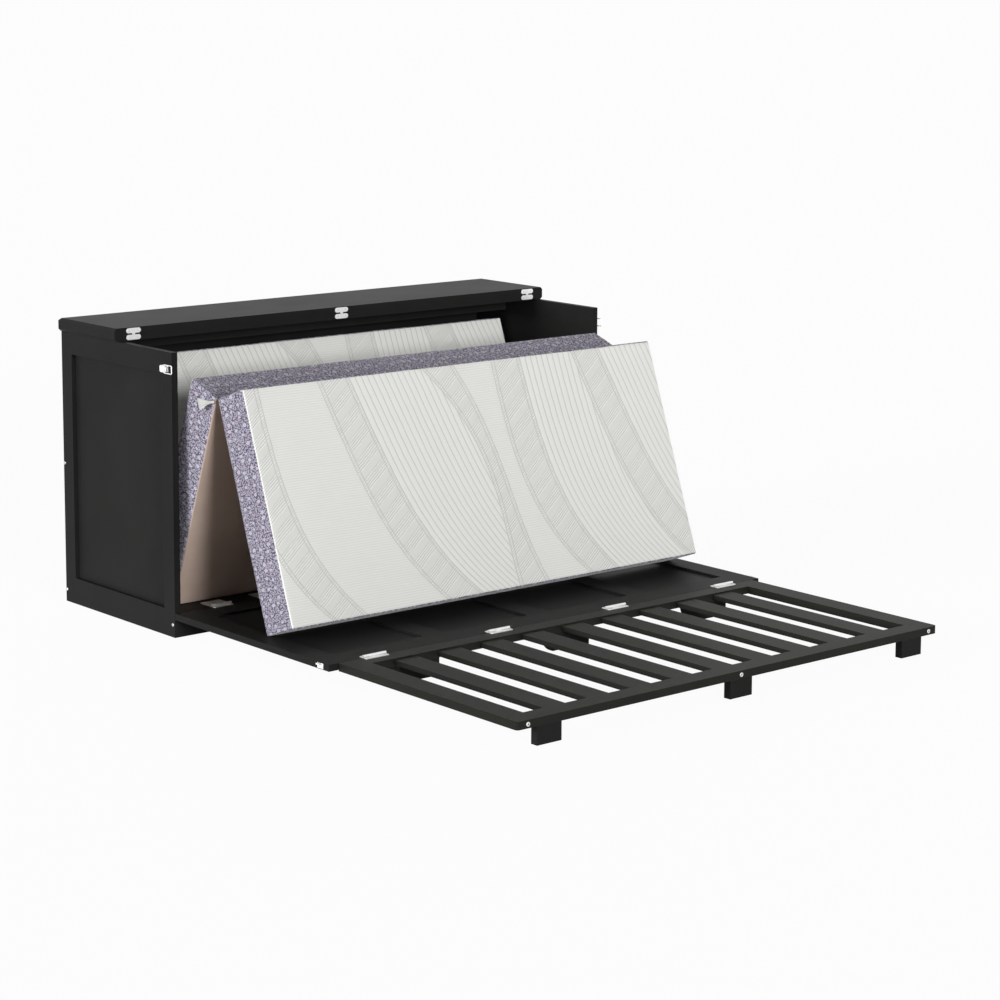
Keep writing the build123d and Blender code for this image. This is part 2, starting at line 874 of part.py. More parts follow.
os.makedirs("parts", exist_ok=True)
for node_name, node_shapes in all_nodes().items():
    write_node(node_name, node_shapes)
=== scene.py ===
"""Looks of a cabinet bed whose three-part mattress stands half unfolded in it.

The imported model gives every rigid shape. This script gives each of them its finish, and makes
the mattress, its folds and tape tail, the screws and bolt heads, and the studio around it.
Everything is in metres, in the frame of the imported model.
"""

from __future__ import annotations

import json
import logging
import math
from dataclasses import dataclass, field
from enum import Enum
from typing import Iterable

import bmesh
import bpy
from mathutils import Matrix, Vector, noise

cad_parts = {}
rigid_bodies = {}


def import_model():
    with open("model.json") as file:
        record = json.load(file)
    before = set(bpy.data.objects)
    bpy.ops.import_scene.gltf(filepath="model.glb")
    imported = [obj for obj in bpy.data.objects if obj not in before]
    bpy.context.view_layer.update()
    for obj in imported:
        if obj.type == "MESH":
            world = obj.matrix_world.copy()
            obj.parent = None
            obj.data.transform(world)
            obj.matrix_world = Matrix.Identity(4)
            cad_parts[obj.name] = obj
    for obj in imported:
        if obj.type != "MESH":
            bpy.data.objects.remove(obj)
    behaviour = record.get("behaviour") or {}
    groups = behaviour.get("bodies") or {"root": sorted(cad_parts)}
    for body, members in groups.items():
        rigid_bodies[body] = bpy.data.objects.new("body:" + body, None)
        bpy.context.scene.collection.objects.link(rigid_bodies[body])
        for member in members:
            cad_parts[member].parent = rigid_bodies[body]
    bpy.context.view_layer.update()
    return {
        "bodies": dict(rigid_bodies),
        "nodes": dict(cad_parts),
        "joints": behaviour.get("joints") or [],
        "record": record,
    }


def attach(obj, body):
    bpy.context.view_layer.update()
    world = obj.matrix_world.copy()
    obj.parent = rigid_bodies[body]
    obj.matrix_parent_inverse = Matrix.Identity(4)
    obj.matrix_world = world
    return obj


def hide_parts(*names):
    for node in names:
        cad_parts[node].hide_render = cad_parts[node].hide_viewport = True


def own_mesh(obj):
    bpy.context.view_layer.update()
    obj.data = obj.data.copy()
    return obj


log = logging.getLogger("cabinet_bed")

Colour = tuple[float, float, float]
BMesh = bmesh.types.BMesh
Material = bpy.types.Material
Socket = bpy.types.NodeSocket
Input = "float | Socket"


class Grain(Enum):
    """Which way the grain of a wooden piece runs."""

    X = (0.06, 1.0, 1.0)
    Y = (1.0, 0.06, 1.0)
    Z = (1.0, 1.0, 0.06)


class Facing(Enum):
    """Which way the head of a screw or bolt faces, as a quarter turn of +Z about an axis."""

    UP = (0, "X")
    FRONT = (90, "X")
    LEFT = (-90, "Y")
    RIGHT = (90, "Y")

    def turn(self) -> Matrix:
        """The turn from +Z to this way."""
        degrees, axis = self.value
        return Matrix.Rotation(math.radians(degrees), 3, axis)


class Nodes:
    """Writes the nodes of one tree."""

    def __init__(self, tree: bpy.types.NodeTree) -> None:
        """Takes the tree."""
        self.tree = tree

    def node(self, kind: str, **settings: object) -> bpy.types.Node:
        """Adds a node.

        Args:
            kind: The node's type, without its ShaderNode prefix.
            settings: Properties to set on it.

        Returns:
            The new node.
        """
        made = self.tree.nodes.new("ShaderNode" + kind)
        for key, value in settings.items():
            setattr(made, key, value)
        return made

    def feed(self, socket: Socket, value: object) -> None:
        """Links a socket to another, or sets its value."""
        if isinstance(value, Socket):
            self.tree.links.new(value, socket)
        else:
            socket.default_value = value

    def fill(self, node: bpy.types.Node, **inputs: object) -> bpy.types.Node:
        """Feeds a node's inputs.

        Args:
            node: The node.
            inputs: Values or sockets by input name, with _ for spaces.

        Returns:
            The same node.
        """
        for key, value in inputs.items():
            self.feed(node.inputs[key.replace("_", " ")], value)
        return node

    def math(self, operation: str, *values: Input) -> Socket:
        """Adds a math node.

        Args:
            operation: Its operation, in Blender's words.
            values: Its one to three inputs.

        Returns:
            The result's socket.
        """
        made = self.node("Math", operation=operation)
        for socket, value in zip(made.inputs, values):
            self.feed(socket, value)
        return made.outputs[0]

    def times(self, one: Input, other: Input) -> Socket:
        """The product of two inputs."""
        return self.math("MULTIPLY", one, other)

    def seen(self) -> Socket:
        """1 for rays of the camera, of reflections and through panes, 0 for those that only light."""
        path = self.node("LightPath")
        seen = self.math("MAXIMUM", path.outputs["Is Camera Ray"], path.outputs["Is Glossy Ray"])
        return self.math("MAXIMUM", seen, path.outputs["Is Transmission Ray"])


class Shading(Nodes):
    """Writes the nodes of one material."""

    def __init__(self, name: str) -> None:
        """Starts a material.

        Args:
            name: The material's name.
        """
        self.material = bpy.data.materials.new(name)
        self.material.use_nodes = True
        super().__init__(self.material.node_tree)
        self.surface = self.tree.nodes["Principled BSDF"]

    def smooth(self, value: Input, low: float, high: float) -> Socket:
        """A soft step, 0 at low and 1 at high, which may be the lower of the two."""
        made = self.node("MapRange", interpolation_type="SMOOTHSTEP")
        self.fill(made, From_Min=min(low, high), From_Max=max(low, high), Value=value)
        self.fill(made, To_Min=float(high < low), To_Max=float(high >= low))
        return made.outputs[0]

    def blend(self, factor: Input, first: object, second: object) -> Socket:
        """Mixes two colours.

        Args:
            factor: Share of the second, from 0 to 1.
            first: A colour or socket.
            second: A colour or socket.

        Returns:
            The mixed colour's socket.
        """
        made = self.node("Mix", data_type="RGBA")
        self.feed(made.inputs[0], factor)
        for socket, value in ((made.inputs[6], first), (made.inputs[7], second)):
            self.feed(socket, value if isinstance(value, Socket) else (*value, 1.0))
        return made.outputs[2]

    def place(self, scale: tuple[float, float, float] = (1, 1, 1)) -> Socket:
        """The point on the piece, in metres, stretched along each axis."""
        made = self.node("Mapping")
        return self.fill(made, Scale=scale, Vector=self.node("TexCoord").outputs["Object"]).outputs[0]

    def noise(self, where: Socket, scale: float, detail: float = 3.0) -> Socket:
        """Cloudy noise.

        Args:
            where: The point's socket.
            scale: Cells per metre.
            detail: Octaves.

        Returns:
            The noise's socket, around 0.5.
        """
        made = self.fill(self.node("TexNoise"), Scale=scale, Detail=detail, Vector=where)
        return made.outputs["Fac"]

    def bump(self, height: Socket, depth: float, normal: object = None) -> Socket:
        """Turns a height from 0 to 1 into a normal.

        Args:
            height: The height's socket.
            depth: What a height of 1 stands for, in metres.
            normal: A normal to add to.

        Returns:
            The normal's socket.
        """
        made = self.fill(self.node("Bump"), Strength=1.0, Distance=depth, Height=height)
        if normal is not None:
            self.fill(made, Normal=normal)
        return made.outputs[0]

    def rounded(self, radius: float) -> tuple[Socket, Socket]:
        """Softens sharp edges.

        Args:
            radius: The rounding, in metres.

        Returns:
            The softened normal, and a mask that is 1 along the edges.
        """
        soft = self.fill(self.node("Bevel", samples=4), Radius=radius)
        dot = self.node("VectorMath", operation="DOT_PRODUCT")
        self.feed(dot.inputs[0], soft.outputs[0])
        self.feed(dot.inputs[1], self.node("NewGeometry").outputs["Normal"])
        return soft.outputs[0], self.smooth(dot.outputs["Value"], 0.995, 0.86)

    def finish(self, **inputs: object) -> Material:
        """Sets the surface's inputs.

        Args:
            inputs: Values or sockets by input name, with _ for spaces.

        Returns:
            The material.
        """
        self.fill(self.surface, **inputs)
        return self.material


@dataclass(frozen=True)
class PaintedWood:
    """Satin paint on wood, thin enough for the grain to show a little."""

    name: str
    grain: Grain
    colour: Colour = (0.0130, 0.0130, 0.0126)
    worn: Colour = (0.036, 0.036, 0.034)
    gloss: float = 0.47
    specular: float = 0.036
    edge: float = 0.0012

    def make(self) -> Material:
        """Builds the material."""
        s = Shading(self.name)
        pores = s.noise(s.place(self.grain.value), 260.0, 4.0)
        here = s.place()
        clouds = s.noise(here, 5.0)
        spray = s.noise(here, 700.0, 2.0)
        normal, edge = s.rounded(self.edge)
        rubbed = s.times(edge, s.smooth(s.noise(here, 38.0), 0.42, 0.72))
        tone = s.blend(s.smooth(clouds, 0.3, 0.7), self.colour, tuple(1.22 * c for c in self.colour))
        colour = s.blend(s.times(rubbed, 0.55), tone, self.worn)
        rough = s.math("MULTIPLY_ADD", clouds, 0.10, self.gloss - 0.05)
        rough = s.math("MULTIPLY_ADD", rubbed, 0.14, rough)
        normal = s.bump(pores, 0.00010, normal)
        normal = s.bump(spray, 0.000018, normal)
        return s.finish(
            Base_Color=colour, Roughness=rough, Specular_IOR_Level=self.specular, Normal=normal
        )


@dataclass(frozen=True)
class PlatedMetal:
    """Plated steel, brushed before plating, with small stains and rubbed edges."""

    name: str
    colour: Colour = (0.88, 0.88, 0.87)
    dull: Colour = (0.66, 0.66, 0.66)
    gloss: float = 0.34
    edge: float = 0.0004

    def make(self) -> Material:
        """Builds the material."""
        s = Shading(self.name)
        here = s.place()
        stain = s.smooth(s.noise(here, 120.0, 5.0), 0.50, 0.78)
        brush = s.noise(s.place((0.05, 1.0, 1.0)), 4200.0, 2.0)
        normal, edge = s.rounded(self.edge)
        tone = s.blend(s.times(stain, 0.55), self.colour, self.dull)
        colour = s.blend(s.times(edge, 0.5), tone, (0.92, 0.92, 0.91))
        rough = s.math("MULTIPLY_ADD", stain, 0.16, self.gloss)
        rough = s.math("MULTIPLY_ADD", brush, 0.08, rough)
        normal = s.bump(brush, 0.00001, normal)
        return s.finish(Base_Color=colour, Metallic=0.55, Roughness=rough, Normal=normal)


@dataclass(frozen=True)
class WaveKnit:
    """The mattress's white knitted top: bands of waves, slanted hatching and fine ribs; painted shade
    darkens its sunk lines and flat blocks, and a painted highlight lightens its raised hatching.
    """

    name: str
    thread: Colour = (0.830, 0.833, 0.800)
    # The groove colour darkens the sunk lines and the flat colour the flat blocks, as painted shade; the
    # raised colour lightens the raised hatching, as a painted highlight.
    groove_shade: Colour = (0.580, 0.585, 0.555)
    flat: Colour = (0.735, 0.740, 0.705)
    raised_highlight: Colour = (0.875, 0.878, 0.850)
    repeat: float = 0.955
    height: float = 0.682
    first_wave: tuple[float, float, float] = (0.245, 0.165, 0.135)
    bounds: tuple[tuple[float, float, float], ...] = (
        (0.112, 0.020, 0.000),
        (0.372, 0.430, -0.535),
        (0.492, 0.175, -0.285),
        (0.640, -0.185, 0.092),
        (0.752, -0.155, 0.068),
    )
    wave_pitch: float = 0.0215
    hatch_pitch: float = 0.054
    hatch_slant: float = 36.0
    hatch_strokes: int = 8
    hatch_gap: float = 0.40
    rib_pitch: float = 0.0072
    rib_depth: float = 0.34
    rim_gap: float = 0.0125
    line: float = 0.0021

    def across(self, s: Shading, u: Input, down: Input) -> tuple[Input, Input]:
        """How far a point is past the first wave of its repeat.

        Args:
            s: The material's nodes.
            u: Place along the width, in metres.
            down: Place from the top, 0, to the bottom, 1.

        Returns:
            The distance in metres, and the repeat's number.
        """
        start, bend, sweep = self.first_wave
        steep = s.math("MULTIPLY_ADD", s.math("POWER", down, 3.0), sweep, bend)
        past = s.math("SUBTRACT", u, s.math("MULTIPLY_ADD", steep, down, start))
        count = s.math("FLOOR", s.math("DIVIDE", past, self.repeat))
        return s.math("SUBTRACT", past, s.times(count, self.repeat)), count

    def bounds_at(self, s: Shading, down: Input) -> list[Input]:
        """The five borders between the bands of one repeat, at one height."""
        made = []
        for start, bend, sweep in self.bounds:
            steep = s.math("MULTIPLY_ADD", down, sweep, bend)
            made.append(s.math("MULTIPLY_ADD", steep, down, start))
        return made

    def near(self, s: Shading, distance: Input, width: float) -> Socket:
        """A thin line, 1 where the distance is 0."""
        return s.smooth(s.math("ABSOLUTE", distance), width, 0.35 * width)

    def every(self, s: Shading, value: Input, pitch: float, width: float) -> Socket:
        """Thin lines, one in each pitch."""
        return s.smooth(s.math("PINGPONG", value, pitch / 2), width, 0.35 * width)

    def make(self) -> Material:
        """Builds the material."""
        s = Shading(self.name)
        uv = s.node("UVMap", uv_map="UVMap").outputs[0]
        split = s.fill(s.node("SeparateXYZ"), Vector=uv)
        drift = s.noise(uv, 24.0, 2.0)
        u = s.math("MULTIPLY_ADD", drift, 0.004, split.outputs[0])
        v = s.math("MULTIPLY_ADD", drift, -0.003, split.outputs[1])
        down = s.math("MULTIPLY_ADD", v, -1 / self.height, 1.0)
        down = s.math("MAXIMUM", down, 0.0)
        past, count = self.across(s, u, down)
        edges = self.bounds_at(s, down)
        beyond = [s.math("GREATER_THAN", past, e) for e in edges]
        inside = [s.math("SUBTRACT", 1.0, beyond[0])]
        inside += [s.math("SUBTRACT", a, b) for a, b in zip(beyond, beyond[1:])] + [beyond[-1]]
        leaf = s.math("ADD", s.math("ADD", inside[0], inside[2]), inside[4])
        even = s.math("PINGPONG", count, 1.0)
        ribbed = s.math("MULTIPLY_ADD", inside[5], even, inside[3])
        waved = s.math("SUBTRACT", s.math("SUBTRACT", 1.0, leaf), ribbed)

        nearest = s.math("MINIMUM", past, s.math("SUBTRACT", self.repeat, past))
        for e in edges:
            nearest = s.math("MINIMUM", nearest, s.math("ABSOLUTE", s.math("SUBTRACT", past, e)))
        second = self.near(s, s.math("SUBTRACT", nearest, self.rim_gap), self.line)
        rims = s.math("MAXIMUM", self.near(s, nearest, self.line), s.times(second, leaf))
        early = s.times(s.math("SUBTRACT", beyond[0], beyond[4]), edges[0])
        since = s.math("SUBTRACT", past, s.math("ADD", s.times(beyond[4], edges[4]), early))
        waves = s.times(waved, self.every(s, since, self.wave_pitch, self.line))

        slant = math.radians(self.hatch_slant)
        along = s.math("MULTIPLY_ADD", v, math.cos(slant), s.times(u, -math.sin(slant)))
        part = s.math("FRACT", s.math("DIVIDE", along, self.hatch_pitch))
        hatched = s.math("GREATER_THAN", part, self.hatch_gap)
        strokes = self.every(s, along, self.hatch_pitch / self.hatch_strokes, 0.95 * self.line)
        strokes = s.times(s.times(strokes, hatched), leaf)
        blocks = s.times(s.math("SUBTRACT", leaf, s.times(leaf, hatched)), 0.9)

        ribs = s.times(self.every(s, v, self.rib_pitch, 0.9 * self.line), ribbed)
        lines = s.math("MAXIMUM", s.math("MAXIMUM", rims, waves), strokes)
        sunk = s.math("MAXIMUM", lines, s.times(ribs, self.rib_depth))
        stitch = s.noise(uv, 620.0, 2.0)
        # Painted shade: the flat blocks of the leaves are darkened.
        tone = s.blend(blocks, self.thread, self.flat)
        # Painted highlight: the raised hatching is lightened.
        tone = s.blend(s.times(hatched, leaf), tone, self.raised_highlight)
        # Painted shade: the sunk lines are darkened.
        tone = s.blend(s.times(sunk, 0.85), tone, self.groove_shade)
        # Random stitch tone, mixed towards the same darker colour.
        tone = s.blend(s.times(s.smooth(stitch, 0.35, 0.7), 0.20), tone, self.flat)
        puff = s.times(s.math("PINGPONG", since, self.wave_pitch / 2), waved)
        rise = s.math("MULTIPLY_ADD", puff, 20.0, s.math("SUBTRACT", 0.6, sunk))
        normal = s.bump(rise, 0.00085)
        normal = s.bump(stitch, 0.00018, normal)
        return s.finish(
            Base_Color=tone, Roughness=0.88, Sheen_Weight=0.10, Sheen_Roughness=0.5,
            Specular_IOR_Level=0.18, Normal=normal,
        )


@dataclass(frozen=True)
class SprigPrint:
    """The printed cloth of the mattress's narrow sides: small pale sprigs on a mauve ground."""

    name: str
    ground: Colour = (0.255, 0.240, 0.312)
    warm_ground: Colour = (0.270, 0.236, 0.300)
    fleck: Colour = (0.040, 0.034, 0.062)
    petal: Colour = (0.480, 0.465, 0.545)
    heart: Colour = (0.220, 0.160, 0.215)
    blush: Colour = (0.470, 0.425, 0.505)
    sprigs: float = 42.0
    scatter: float = 0.58
    petals: float = 5.0
    petal_reach: float = 0.0056
    buds_a_sprig: float = 5.0
    bud_share: float = 0.72

    def cells(self, s: Shading, uv: Input, scale: float, scatter: float) -> tuple[bpy.types.Node, ...]:
        """Scattered cells: their node, and one that splits each cell's own random colour."""
        cell = s.node("TexVoronoi", voronoi_dimensions="2D")
        s.fill(cell, Scale=scale, Randomness=scatter, Vector=uv)
        return cell, s.fill(s.node("SeparateColor"), Color=cell.outputs["Color"])

    def flower(self, s: Shading, uv: Input) -> tuple[Input, Input, Input]:
        """Draws one five-petalled flower in each cell.

        Args:
            s: The material's nodes.
            uv: The place on the cloth.

        Returns:
            The petals' mask, the heart's mask and the mask of the flower with the leaves round it.
        """
        cell, own = self.cells(s, uv, self.sprigs, self.scatter)
        off = s.node("VectorMath", operation="SUBTRACT")
        s.feed(off.inputs[0], uv)
        s.feed(off.inputs[1], cell.outputs["Position"])
        split = s.fill(s.node("SeparateXYZ"), Vector=off.outputs[0])
        turn = s.math("ARCTAN2", split.outputs[1], split.outputs[0])
        start = s.times(own.outputs[1], 6.28)
        turn = s.math("ADD", s.times(turn, self.petals), start)
        size = s.math("MULTIPLY_ADD", own.outputs[0], 0.45, 0.75)
        rim = s.times(s.math("MULTIPLY_ADD", s.math("COSINE", turn), 0.15, 0.85), size)
        far = s.math("DIVIDE", cell.outputs["Distance"], self.sprigs * self.petal_reach)
        share = s.math("DIVIDE", far, rim)
        return s.smooth(share, 1.08, 0.90), s.smooth(share, 0.34, 0.20), s.smooth(share, 1.62, 1.30)

    def make(self) -> Material:
        """Builds the material."""
        s = Shading(self.name)
        uv = s.node("UVMap", uv_map="UVMap").outputs[0]
        petals, heart, leaves = self.flower(s, uv)
        dots, own = self.cells(s, uv, self.buds_a_sprig * self.sprigs, 1.0)
        gap = s.smooth(dots.outputs["Distance"], 0.40, 0.58)
        bud = s.smooth(dots.outputs["Distance"], 0.36, 0.22)
        bud = s.times(bud, s.math("LESS_THAN", own.outputs[0], self.bud_share))
        warm = s.smooth(s.noise(uv, 46.0, 2.0), 0.42, 0.62)
        colour = s.blend(warm, self.ground, self.warm_ground)
        colour = s.blend(s.times(gap, 0.85), colour, self.fleck)
        colour = s.blend(s.times(leaves, 0.55), colour, self.fleck)
        colour = s.blend(s.times(bud, 0.75), colour, self.petal)
        colour = s.blend(petals, colour, s.blend(warm, self.petal, self.blush))
        colour = s.blend(s.times(heart, 0.45), colour, self.heart)
        faded = s.smooth(s.noise(uv, 30.0), 0.35, 0.75)
        colour = s.blend(s.times(faded, 0.12), colour, self.petal)
        weave = s.noise(uv, 900.0, 2.0)
        normal = s.bump(s.noise(uv, 26.0, 3.0), 0.0016)
        normal = s.bump(weave, 0.00016, normal)
        return s.finish(
            Base_Color=colour, Roughness=0.86, Sheen_Weight=0.20, Sheen_Roughness=0.45,
            Specular_IOR_Level=0.16, Normal=normal,
        )


@dataclass(frozen=True)
class BrushedCloth:
    """A plain cloth with a short nap, as on the mattress's underside."""

    name: str
    colour: Colour
    lighter: Colour
    weave: float = 1100.0

    def make(self) -> Material:
        """Builds the material."""
        s = Shading(self.name)
        uv = s.node("UVMap", uv_map="UVMap").outputs[0]
        nap = s.smooth(s.noise(uv, 9.0, 4.0), 0.35, 0.72)
        fibre = s.noise(uv, self.weave, 3.0)
        colour = s.blend(s.times(nap, 0.35), self.colour, self.lighter)
        colour = s.blend(s.times(s.smooth(fibre, 0.4, 0.7), 0.25), colour, self.lighter)
        normal = s.bump(s.noise(uv, 22.0, 3.0), 0.0012)
        normal = s.bump(fibre, 0.00018, normal)
        return s.finish(
            Base_Color=colour, Roughness=0.9, Sheen_Weight=0.25, Sheen_Roughness=0.4,
            Specular_IOR_Level=0.15, Normal=normal,
        )


@dataclass(frozen=True)
class StudioFloor:
    """The studio's white floor, which keeps a soft shadow."""

    name: str
    shown: float = 0.955

    def make(self) -> Material:
        """Builds the material."""
        s = Shading(self.name)
        s.finish(Base_Color=(0.94, 0.94, 0.94, 1.0), Roughness=0.95, Specular_IOR_Level=0.0)
        glow = s.fill(s.node("Emission"), Color=(1.0, 1.0, 1.0, 1.0), Strength=1.0)
        mixed = s.node("MixShader")
        s.feed(mixed.inputs[0], s.times(s.seen(), self.shown))
        s.feed(mixed.inputs[1], s.surface.outputs[0])
        s.feed(mixed.inputs[2], glow.outputs[0])
        s.feed(s.tree.nodes["Material Output"].inputs["Surface"], mixed.outputs[0])
        return s.material


class Finishes:
    """Every finish, each made once."""

    def __init__(self) -> None:
        """Makes the materials."""
        # The slats' colour is tinted olive: a painted reflection of the mattress on their tops.
        painted_reflection_olive = (0.0128, 0.0128, 0.0108)
        self.rails = self.wood("black_wood", Grain)
        self.boards = self.wood("black_board", Grain, gloss=0.44, edge=0.0008)
        self.slats = self.wood("black_slat", (Grain.X, Grain.Y), colour=painted_reflection_olive, specular=0.070, edge=0.0018)
        self.plated = PlatedMetal("plated_steel_brushed").make()
        self.bolts = PlatedMetal("bolt_steel_bright", (0.70, 0.70, 0.70), gloss=0.30).make()
        # The bolts' sockets get near-black steel: painted shade in the socket recesses.
        self.sockets = PlatedMetal("socket_steel_painted_shade", (0.10, 0.10, 0.10), (0.06, 0.06, 0.06), 0.5).make()
        self.knit = WaveKnit("white_wave_knit").make()
        self.border = SprigPrint("mauve_sprig_cloth").make()
        self.under = BrushedCloth("taupe_nap", (0.41, 0.315, 0.262), (0.52, 0.415, 0.355)).make()
        # The white tape's colour is set to a mid grey: painted shade.
        self.tape = BrushedCloth("white_tape", (0.50, 0.50, 0.48), (0.62, 0.62, 0.60), 700.0).make()
        self.floor = StudioFloor("studio_floor_white").make()

    def wood(self, name: str, grains: Iterable[Grain], **look: object) -> dict[Grain, Material]:
        """One painted wood for each way that the grain runs."""
        return {g: PaintedWood(f"{name}_{g.name.lower()}", g, **look).make() for g in grains}


def new_piece(name: str, mesh: BMesh, materials: list[Material]) -> bpy.types.Object:
    """Turns built geometry into a smooth-shaded piece.

    Args:
        name: The piece's name.
        mesh: Its geometry, which is freed.
        materials: Its materials, in slot order.

    Returns:
        The piece, linked to the scene.
    """
    data = bpy.data.meshes.new(name)
    mesh.to_mesh(data)
    mesh.free()
    for material in materials:
        data.materials.append(material)
    data.polygons.foreach_set("use_smooth", [True] * len(data.polygons))
    made = bpy.data.objects.new(name, data)
    bpy.context.scene.collection.objects.link(made)
    return made


def apply_modifiers(piece: bpy.types.Object) -> None:
    """Replaces a piece's mesh with its modified one."""
    graph = bpy.context.evaluated_depsgraph_get()
    graph.update()
    mesh = bpy.data.meshes.new_from_object(piece.evaluated_get(graph))
    piece.modifiers.clear()
    piece.data = mesh


def dress(frame: dict, node: str, material: Material) -> None:
    """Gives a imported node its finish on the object's own slots.

    Args:
        node: The node's name.
        material: Its finish.
    """
    piece = frame["nodes"][node]
    if not piece.material_slots:
        piece.data.materials.append(material)
    for slot in piece.material_slots:
        slot.link = "OBJECT"
        slot.material = material


@dataclass(frozen=True)
class Section:
    """Where one part of the mattress stands."""

    body: str
    foot_y: float
    faces: int
    print_shift: float


@dataclass
class Mattress:
    """Three foam sections in one cover, joined by two folds, standing in a zigzag."""

    width: float = 1.540
    height: float = 0.682
    thickness: float = 0.137
    centre_x: float = 0.008
    lean: float = 19.7
    foot_z: float = 0.06739
    rear_foot_y: float = 0.7790
    edge_radius: float = 0.0065
    crown: float = 0.0028
    end_crown: float = 0.0012
    pitch: float = 0.012
    seam_depth: float = 0.0017
    seam_width: float = 0.0024
    gather_depth: float = 0.0010
    gather_reach: float = 0.016
    face_slack: float = 0.0010
    side_slack: float = 0.0016
    fill: float = 0.95
    roll_fill: float = 0.9
    roll_radius: float = 0.0056
    roll_inset: float = 0.011
    roll_tip: float = 0.006
    tail_length: float = 0.056
    tail_narrow: float = 0.0040
    tail_flare: float = 0.0130
    tail_thickness: float = 0.0012
    kept: float = 0.95
    pieces: list[str] = field(default_factory=list)

    def fold_lines(self) -> tuple[tuple[float, float], tuple[float, float]]:
        """The lower and the upper fold, each as (y, z)."""
        angle = math.radians(self.lean)
        back, up = self.thickness * math.cos(angle), self.thickness * math.sin(angle)
        lower = (self.rear_foot_y - back, self.foot_z + up)
        across, high = self.height * math.sin(angle), self.height * math.cos(angle)
        return lower, (lower[0] - back - across, self.foot_z + high)

    def sections(self) -> list[Section]:
        """The three sections, from the wall to the foot of the bed."""
        (lower_y, _), (upper_y, _) = self.fold_lines()
        angle = math.radians(self.lean)
        middle_y = lower_y - self.thickness * math.cos(angle)
        front_y = upper_y - self.height * math.sin(angle)
        return [
            Section("mattress_rear", self.rear_foot_y, -1, -0.010),
            Section("mattress_middle", middle_y, 1, 0.640),
            Section("mattress_front", front_y, -1, -0.012),
        ]

    def stations(self, half: float) -> list[float]:
        """Places along one axis, close together over the rounded edges."""
        flat = half - self.edge_radius
        count = max(4, round(2 * flat / self.pitch))
        turn = [self.edge_radius * math.tan(math.radians(11.25 * k)) for k in (1, 2, 3, 4)]
        run = [-flat + 2 * flat * i / count for i in range(count + 1)]
        return [-flat - t for t in reversed(turn)] + run + [flat + t for t in turn]

    def shaped(self, point: Vector, half: Vector, seed: float) -> Vector:
        """Rounds, crowns and creases one point of a section's surface.

        Args:
            point: The point on the sharp box, as (along the width, through, up).
            half: The box's half sizes.
            seed: Sets the creases apart from those of other sections.

        Returns:
            The point on the soft form.
        """
        flat = half - Vector((self.edge_radius,) * 3)
        core = Vector([max(-f, min(f, c)) for f, c in zip(flat, point)])
        normal = (point - core).normalized()
        share = Vector([c / h for c, h in zip(core, half)])
        side = (1 - share.z ** 2) * (1 - share.x ** 8)
        ends = (1 - share.x ** 8) * (1 - share.y ** 2)
        swell = Vector((
            normal.x * self.end_crown * (1 - share.z ** 2) * (1 - share.y ** 2),
            normal.y * self.crown * side,
            normal.z * self.end_crown * ends,
        ))
        tilt = math.atan2(abs(normal.y), math.hypot(normal.x, normal.z))
        off_seam = abs(tilt - math.pi / 4) * self.edge_radius
        if abs(normal.y) > 0.99:
            off_seam += min(f - abs(c) for f, c in zip((flat.x, flat.z), (core.x, core.z)))
        elif abs(normal.y) < 0.01:
            off_seam += flat.y - abs(core.y)
        pinch = self.seam_depth * math.exp(-((off_seam / self.seam_width) ** 2))
        run = core.x + core.z + seed
        wave = 0.5 + 0.5 * noise.noise(Vector((run * 24.0, core.y * 30.0, seed)))
        gather = self.gather_depth * wave * math.exp(-off_seam / self.gather_reach)
        broad = 0.5 + 0.5 * noise.noise(Vector((core.x * 5.0, core.y * 9.0 + seed, core.z * 6.0)))
        slack = broad * (self.side_slack if abs(normal.y) < 0.5 else self.face_slack)
        return core + normal * (self.edge_radius - pinch - gather - slack) + swell

    def section_mesh(self, section: Section) -> BMesh:
        """Builds one section, standing where it belongs.

        Args:
            section: Which one.

        Returns:
            Its geometry, with material 0 on the white side, 1 on the narrow sides and 2 below.
        """
        half = Vector((self.width / 2, self.thickness / 2 - self.crown, self.height / 2 - self.end_crown))
        lines = [self.stations(h) for h in half]
        last = [len(line) - 1 for line in lines]
        mesh = bmesh.new()
        layer = mesh.loops.layers.uv.new("UVMap")
        points: dict[tuple[int, int, int], bmesh.types.BMVert] = {}
        flat: dict[bmesh.types.BMVert, Vector] = {}
        turn = Matrix.Rotation(section.faces * math.radians(self.lean), 4, "X")
        middle = Matrix.Translation((0, section.faces * self.thickness / 2, self.height / 2))
        stand = Matrix.Translation((self.centre_x, section.foot_y, self.foot_z)) @ turn @ middle

        def corner(key: tuple[int, int, int]) -> bmesh.types.BMVert:
            """The vertex at a lattice place, made the first time."""
            if key not in points:
                sharp = Vector([line[i] for line, i in zip(lines, key)])
                soft = self.shaped(sharp, half, section.foot_y * 7.0)
                points[key] = mesh.verts.new(stand @ Vector((soft.x, section.faces * soft.y, soft.z)))
                flat[points[key]] = soft
            return points[key]

